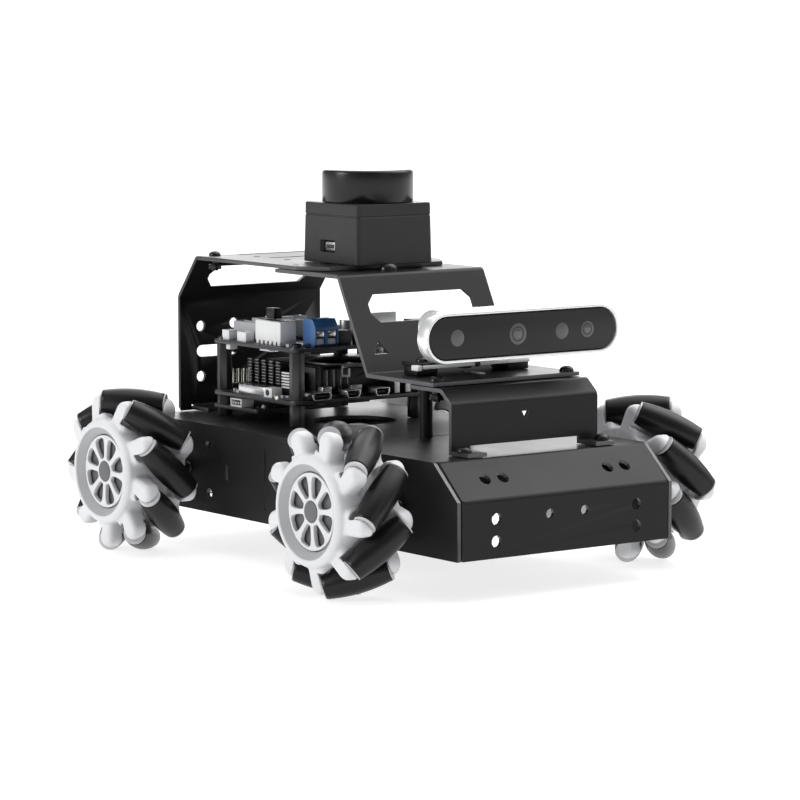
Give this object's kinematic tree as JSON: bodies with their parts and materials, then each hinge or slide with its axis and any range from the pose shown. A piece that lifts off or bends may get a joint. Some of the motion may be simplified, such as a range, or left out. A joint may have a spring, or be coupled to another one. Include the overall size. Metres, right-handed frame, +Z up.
{
  "type": "four wheel robot chassis",
  "caption": "Small wheeled robot base: folded black tray with a cage and front shelf, mecanum wheels, depth camera, scanning range finder and stacked circuit boards.",
  "frame": {"origin": "on the floor under the middle of the whole robot", "axes": "+Z up, -Y the way the robot faces, +X the robot's left"},
  "size_m": [0.1764, 0.2173, 0.1523],
  "materials": {
    "black_steel": "satin powder coat",
    "black_plastic": "satin moulded",
    "gloss_black": "polished",
    "silver": "anodised satin",
    "aluminium": "turned",
    "hub_plastic": "satin moulded",
    "roller_rubber": "satin",
    "circuit_board": "solder mask",
    "zinc_screw": "plated",
    "terminal_blue": "moulded",
    "connector_white": "moulded",
    "connector_grey": "moulded"
  },
  "bodies": {
    "chassis": {"chassis_deck": "black_steel", "rear_frame": "black_steel", "front_frame": "black_steel", "front_bracket": "black_steel", "battery_pack": "black_plastic", "gear_motor_fl": "aluminium", "gear_motor_fr": "aluminium", "gear_motor_rl": "aluminium", "gear_motor_rr": "aluminium", "lidar_base": "black_plastic", "lidar_cover": "gloss_black", "camera_shell": "silver", "camera_window": "gloss_black", "camera_mount": "black_steel", "computer_board": "circuit_board", "cooler": "black_plastic", "controller_board": "circuit_board"},
    "lidar_rotor": {"lidar_rotor": "black_plastic"},
    "fan_rotor": {"fan_rotor": "black_plastic"},
    "power_switch": {"power_switch": "black_plastic"},
    "wheel_fl": {"wheel_hub_fl": "hub_plastic"},
    "roller_fl_1": {"roller_fl_1": "roller_rubber"},
    "roller_fl_2": {"roller_fl_2": "roller_rubber"},
    "roller_fl_3": {"roller_fl_3": "roller_rubber"},
    "roller_fl_4": {"roller_fl_4": "roller_rubber"},
    "roller_fl_5": {"roller_fl_5": "roller_rubber"},
    "roller_fl_6": {"roller_fl_6": "roller_rubber"},
    "roller_fl_7": {"roller_fl_7": "roller_rubber"},
    "roller_fl_8": {"roller_fl_8": "roller_rubber"},
    "roller_fl_9": {"roller_fl_9": "roller_rubber"},
    "wheel_fr": {"wheel_hub_fr": "hub_plastic"},
    "roller_fr_1": {"roller_fr_1": "roller_rubber"},
    "roller_fr_2": {"roller_fr_2": "roller_rubber"},
    "roller_fr_3": {"roller_fr_3": "roller_rubber"},
    "roller_fr_4": {"roller_fr_4": "roller_rubber"},
    "roller_fr_5": {"roller_fr_5": "roller_rubber"},
    "roller_fr_6": {"roller_fr_6": "roller_rubber"},
    "roller_fr_7": {"roller_fr_7": "roller_rubber"},
    "roller_fr_8": {"roller_fr_8": "roller_rubber"},
    "roller_fr_9": {"roller_fr_9": "roller_rubber"},
    "wheel_rl": {"wheel_hub_rl": "hub_plastic"},
    "roller_rl_1": {"roller_rl_1": "roller_rubber"},
    "roller_rl_2": {"roller_rl_2": "roller_rubber"},
    "roller_rl_3": {"roller_rl_3": "roller_rubber"},
    "roller_rl_4": {"roller_rl_4": "roller_rubber"},
    "roller_rl_5": {"roller_rl_5": "roller_rubber"},
    "roller_rl_6": {"roller_rl_6": "roller_rubber"},
    "roller_rl_7": {"roller_rl_7": "roller_rubber"},
    "roller_rl_8": {"roller_rl_8": "roller_rubber"},
    "roller_rl_9": {"roller_rl_9": "roller_rubber"},
    "wheel_rr": {"wheel_hub_rr": "hub_plastic"},
    "roller_rr_1": {"roller_rr_1": "roller_rubber"},
    "roller_rr_2": {"roller_rr_2": "roller_rubber"},
    "roller_rr_3": {"roller_rr_3": "roller_rubber"},
    "roller_rr_4": {"roller_rr_4": "roller_rubber"},
    "roller_rr_5": {"roller_rr_5": "roller_rubber"},
    "roller_rr_6": {"roller_rr_6": "roller_rubber"},
    "roller_rr_7": {"roller_rr_7": "roller_rubber"},
    "roller_rr_8": {"roller_rr_8": "roller_rubber"},
    "roller_rr_9": {"roller_rr_9": "roller_rubber"}
  },
  "joints": [
    {"name": "lidar_spin", "type": "hinge", "parent": "chassis", "child": "lidar_rotor", "pos_m": [0, 0.0164, 0.14], "axis": [0, 0, 1], "continuous": true},
    {"name": "fan_spin", "type": "hinge", "parent": "chassis", "child": "fan_rotor", "pos_m": [0.007, 0.042, 0.07], "axis": [0, 0, 1], "continuous": true},
    {"name": "power_slide", "type": "slide", "parent": "chassis", "child": "power_switch", "axis": [1, 0, 0], "range_m": [0, 0.003]},
    {"name": "wheel_fl_spin", "type": "hinge", "parent": "chassis", "child": "wheel_fl", "pos_m": [0.073, -0.0654, 0.0325], "axis": [1, 0, 0], "continuous": true},
    {"name": "roller_fl_1_spin", "type": "hinge", "parent": "wheel_fl", "child": "roller_fl_1", "pos_m": [0.073, -0.06307, 0.05915], "axis": [0.7071, -0.7044, 0.0616], "continuous": true},
    {"name": "roller_fl_2_spin", "type": "hinge", "parent": "wheel_fl", "child": "roller_fl_2", "pos_m": [0.073, -0.08074, 0.05441], "axis": [0.7071, -0.5792, -0.4056], "continuous": true},
    {"name": "roller_fl_3_spin", "type": "hinge", "parent": "wheel_fl", "child": "roller_fl_3", "pos_m": [0.073, -0.09124, 0.03942], "axis": [0.7071, -0.183, -0.683], "continuous": true},
    {"name": "roller_fl_4_spin", "type": "hinge", "parent": "wheel_fl", "child": "roller_fl_4", "pos_m": [0.073, -0.08964, 0.02119], "axis": [0.7071, 0.2988, -0.6409], "continuous": true},
    {"name": "roller_fl_5_spin", "type": "hinge", "parent": "wheel_fl", "child": "roller_fl_5", "pos_m": [0.073, -0.0767, 0.00826], "axis": [0.7071, 0.6409, -0.2988], "continuous": true},
    {"name": "roller_fl_6_spin", "type": "hinge", "parent": "wheel_fl", "child": "roller_fl_6", "pos_m": [0.073, -0.05848, 0.00666], "axis": [0.7071, 0.683, 0.183], "continuous": true},
    {"name": "roller_fl_7_spin", "type": "hinge", "parent": "wheel_fl", "child": "roller_fl_7", "pos_m": [0.073, -0.04349, 0.01716], "axis": [0.7071, 0.4056, 0.5792], "continuous": true},
    {"name": "roller_fl_8_spin", "type": "hinge", "parent": "wheel_fl", "child": "roller_fl_8", "pos_m": [0.073, -0.03875, 0.03483], "axis": [0.7071, -0.0616, 0.7044], "continuous": true},
    {"name": "roller_fl_9_spin", "type": "hinge", "parent": "wheel_fl", "child": "roller_fl_9", "pos_m": [0.073, -0.04648, 0.05142], "axis": [0.7071, -0.5, 0.5], "continuous": true},
    {"name": "wheel_fr_spin", "type": "hinge", "parent": "chassis", "child": "wheel_fr", "pos_m": [-0.073, -0.0654, 0.0325], "axis": [1, 0, 0], "continuous": true},
    {"name": "roller_fr_1_spin", "type": "hinge", "parent": "wheel_fr", "child": "roller_fr_1", "pos_m": [-0.073, -0.06307, 0.05915], "axis": [-0.7071, -0.7044, 0.0616], "continuous": true},
    {"name": "roller_fr_2_spin", "type": "hinge", "parent": "wheel_fr", "child": "roller_fr_2", "pos_m": [-0.073, -0.04648, 0.05142], "axis": [-0.7071, -0.5, 0.5], "continuous": true},
    {"name": "roller_fr_3_spin", "type": "hinge", "parent": "wheel_fr", "child": "roller_fr_3", "pos_m": [-0.073, -0.03875, 0.03483], "axis": [-0.7071, -0.0616, 0.7044], "continuous": true},
    {"name": "roller_fr_4_spin", "type": "hinge", "parent": "wheel_fr", "child": "roller_fr_4", "pos_m": [-0.073, -0.04349, 0.01716], "axis": [-0.7071, 0.4056, 0.5792], "continuous": true},
    {"name": "roller_fr_5_spin", "type": "hinge", "parent": "wheel_fr", "child": "roller_fr_5", "pos_m": [-0.073, -0.05848, 0.00666], "axis": [-0.7071, 0.683, 0.183], "continuous": true},
    {"name": "roller_fr_6_spin", "type": "hinge", "parent": "wheel_fr", "child": "roller_fr_6", "pos_m": [-0.073, -0.0767, 0.00826], "axis": [-0.7071, 0.6409, -0.2988], "continuous": true},
    {"name": "roller_fr_7_spin", "type": "hinge", "parent": "wheel_fr", "child": "roller_fr_7", "pos_m": [-0.073, -0.08964, 0.02119], "axis": [-0.7071, 0.2988, -0.6409], "continuous": true},
    {"name": "roller_fr_8_spin", "type": "hinge", "parent": "wheel_fr", "child": "roller_fr_8", "pos_m": [-0.073, -0.09124, 0.03942], "axis": [-0.7071, -0.183, -0.683], "continuous": true},
    {"name": "roller_fr_9_spin", "type": "hinge", "parent": "wheel_fr", "child": "roller_fr_9", "pos_m": [-0.073, -0.08074, 0.05441], "axis": [-0.7071, -0.5792, -0.4056], "continuous": true},
    {"name": "wheel_rl_spin", "type": "hinge", "parent": "chassis", "child": "wheel_rl", "pos_m": [0.073, 0.0762, 0.0325], "axis": [1, 0, 0], "continuous": true},
    {"name": "roller_rl_1_spin", "type": "hinge", "parent": "wheel_rl", "child": "roller_rl_1", "pos_m": [0.073, 0.07424, 0.05918], "axis": [0.7071, 0.7052, 0.0518], "continuous": true},
    {"name": "roller_rl_2_spin", "type": "hinge", "parent": "wheel_rl", "child": "roller_rl_2", "pos_m": [0.073, 0.05755, 0.05168], "axis": [0.7071, 0.5069, 0.493], "continuous": true},
    {"name": "roller_rl_3_spin", "type": "hinge", "parent": "wheel_rl", "child": "roller_rl_3", "pos_m": [0.073, 0.04959, 0.0352], "axis": [0.7071, 0.0715, 0.7035], "continuous": true},
    {"name": "roller_rl_4_spin", "type": "hinge", "parent": "wheel_rl", "child": "roller_rl_4", "pos_m": [0.073, 0.05408, 0.01746], "axis": [0.7071, -0.3975, 0.5848], "continuous": true},
    {"name": "roller_rl_5_spin", "type": "hinge", "parent": "wheel_rl", "child": "roller_rl_5", "pos_m": [0.073, 0.06892, 0.00676], "axis": [0.7071, -0.6804, 0.1925], "continuous": true},
    {"name": "roller_rl_6_spin", "type": "hinge", "parent": "wheel_rl", "child": "roller_rl_6", "pos_m": [0.073, 0.08717, 0.0081], "axis": [0.7071, -0.645, -0.2899], "continuous": true},
    {"name": "roller_rl_7_spin", "type": "hinge", "parent": "wheel_rl", "child": "roller_rl_7", "pos_m": [0.073, 0.10028, 0.02086], "axis": [0.7071, -0.3078, -0.6366], "continuous": true},
    {"name": "roller_rl_8_spin", "type": "hinge", "parent": "wheel_rl", "child": "roller_rl_8", "pos_m": [0.073, 0.10213, 0.03906], "axis": [0.7071, 0.1735, -0.6855], "continuous": true},
    {"name": "roller_rl_9_spin", "type": "hinge", "parent": "wheel_rl", "child": "roller_rl_9", "pos_m": [0.073, 0.09185, 0.0542], "axis": [0.7071, 0.5735, -0.4136], "continuous": true},
    {"name": "wheel_rr_spin", "type": "hinge", "parent": "chassis", "child": "wheel_rr", "pos_m": [-0.073, 0.0762, 0.0325], "axis": [1, 0, 0], "continuous": true},
    {"name": "roller_rr_1_spin", "type": "hinge", "parent": "wheel_rr", "child": "roller_rr_1", "pos_m": [-0.073, 0.07424, 0.05918], "axis": [-0.7071, 0.7052, 0.0518], "continuous": true},
    {"name": "roller_rr_2_spin", "type": "hinge", "parent": "wheel_rr", "child": "roller_rr_2", "pos_m": [-0.073, 0.09185, 0.0542], "axis": [-0.7071, 0.5735, -0.4136], "continuous": true},
    {"name": "roller_rr_3_spin", "type": "hinge", "parent": "wheel_rr", "child": "roller_rr_3", "pos_m": [-0.073, 0.10213, 0.03906], "axis": [-0.7071, 0.1735, -0.6855], "continuous": true},
    {"name": "roller_rr_4_spin", "type": "hinge", "parent": "wheel_rr", "child": "roller_rr_4", "pos_m": [-0.073, 0.10028, 0.02086], "axis": [-0.7071, -0.3078, -0.6366], "continuous": true},
    {"name": "roller_rr_5_spin", "type": "hinge", "parent": "wheel_rr", "child": "roller_rr_5", "pos_m": [-0.073, 0.08717, 0.0081], "axis": [-0.7071, -0.645, -0.2899], "continuous": true},
    {"name": "roller_rr_6_spin", "type": "hinge", "parent": "wheel_rr", "child": "roller_rr_6", "pos_m": [-0.073, 0.06892, 0.00676], "axis": [-0.7071, -0.6804, 0.1925], "continuous": true},
    {"name": "roller_rr_7_spin", "type": "hinge", "parent": "wheel_rr", "child": "roller_rr_7", "pos_m": [-0.073, 0.05408, 0.01746], "axis": [-0.7071, -0.3975, 0.5848], "continuous": true},
    {"name": "roller_rr_8_spin", "type": "hinge", "parent": "wheel_rr", "child": "roller_rr_8", "pos_m": [-0.073, 0.04959, 0.0352], "axis": [-0.7071, 0.0715, 0.7035], "continuous": true},
    {"name": "roller_rr_9_spin", "type": "hinge", "parent": "wheel_rr", "child": "roller_rr_9", "pos_m": [-0.073, 0.05755, 0.05168], "axis": [-0.7071, 0.5069, 0.493], "continuous": true}
  ]
}
